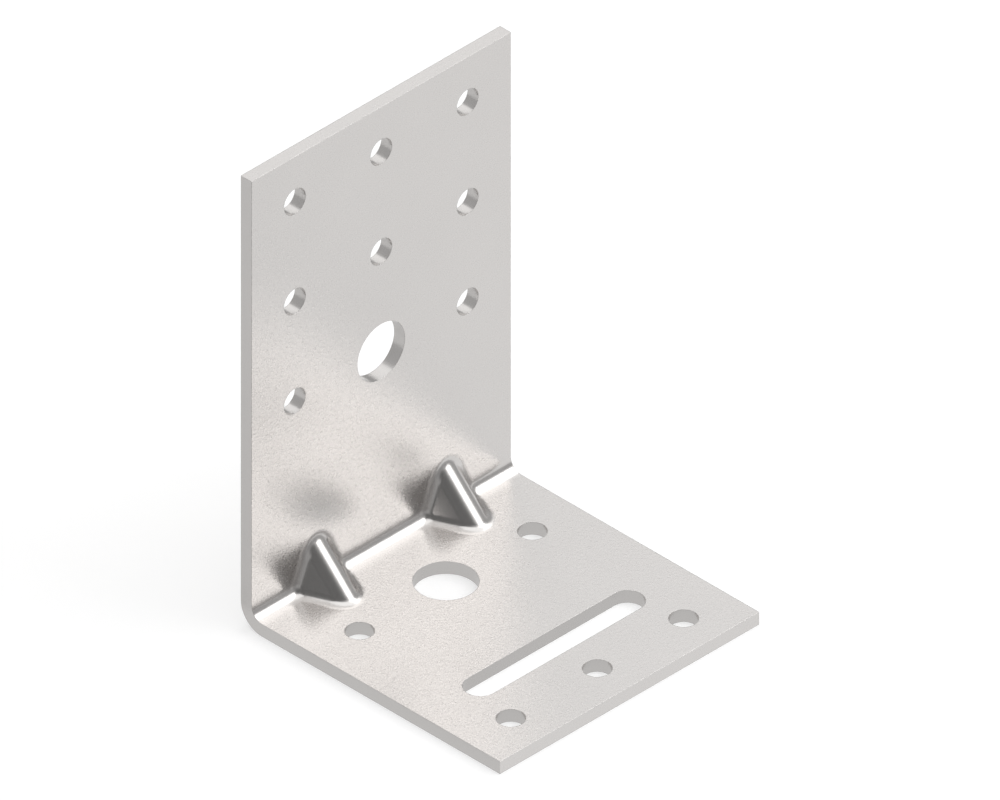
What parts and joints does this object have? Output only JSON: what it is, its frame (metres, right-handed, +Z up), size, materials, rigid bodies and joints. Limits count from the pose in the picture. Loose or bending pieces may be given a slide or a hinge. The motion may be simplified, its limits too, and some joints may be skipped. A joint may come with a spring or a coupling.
{
  "type": "angle bracket",
  "caption": "Right-angle steel bracket with two ribs pressed across the fold, nail holes, a bolt hole in each leg and a slot for adjustment.",
  "frame": {"origin": "on the underside of the base leg, at the middle of the bracket's footprint", "axes": "+Z up along the tall leg; +Y towards the tall leg, whose back face looks along it; X across the width"},
  "size_m": [0.06, 0.06, 0.09],
  "materials": {
    "zinc_steel": "zinc-plated sheet, satin with a fine grain"
  },
  "bodies": {
    "root": {"angle_bracket": "zinc_steel"}
  },
  "joints": []
}
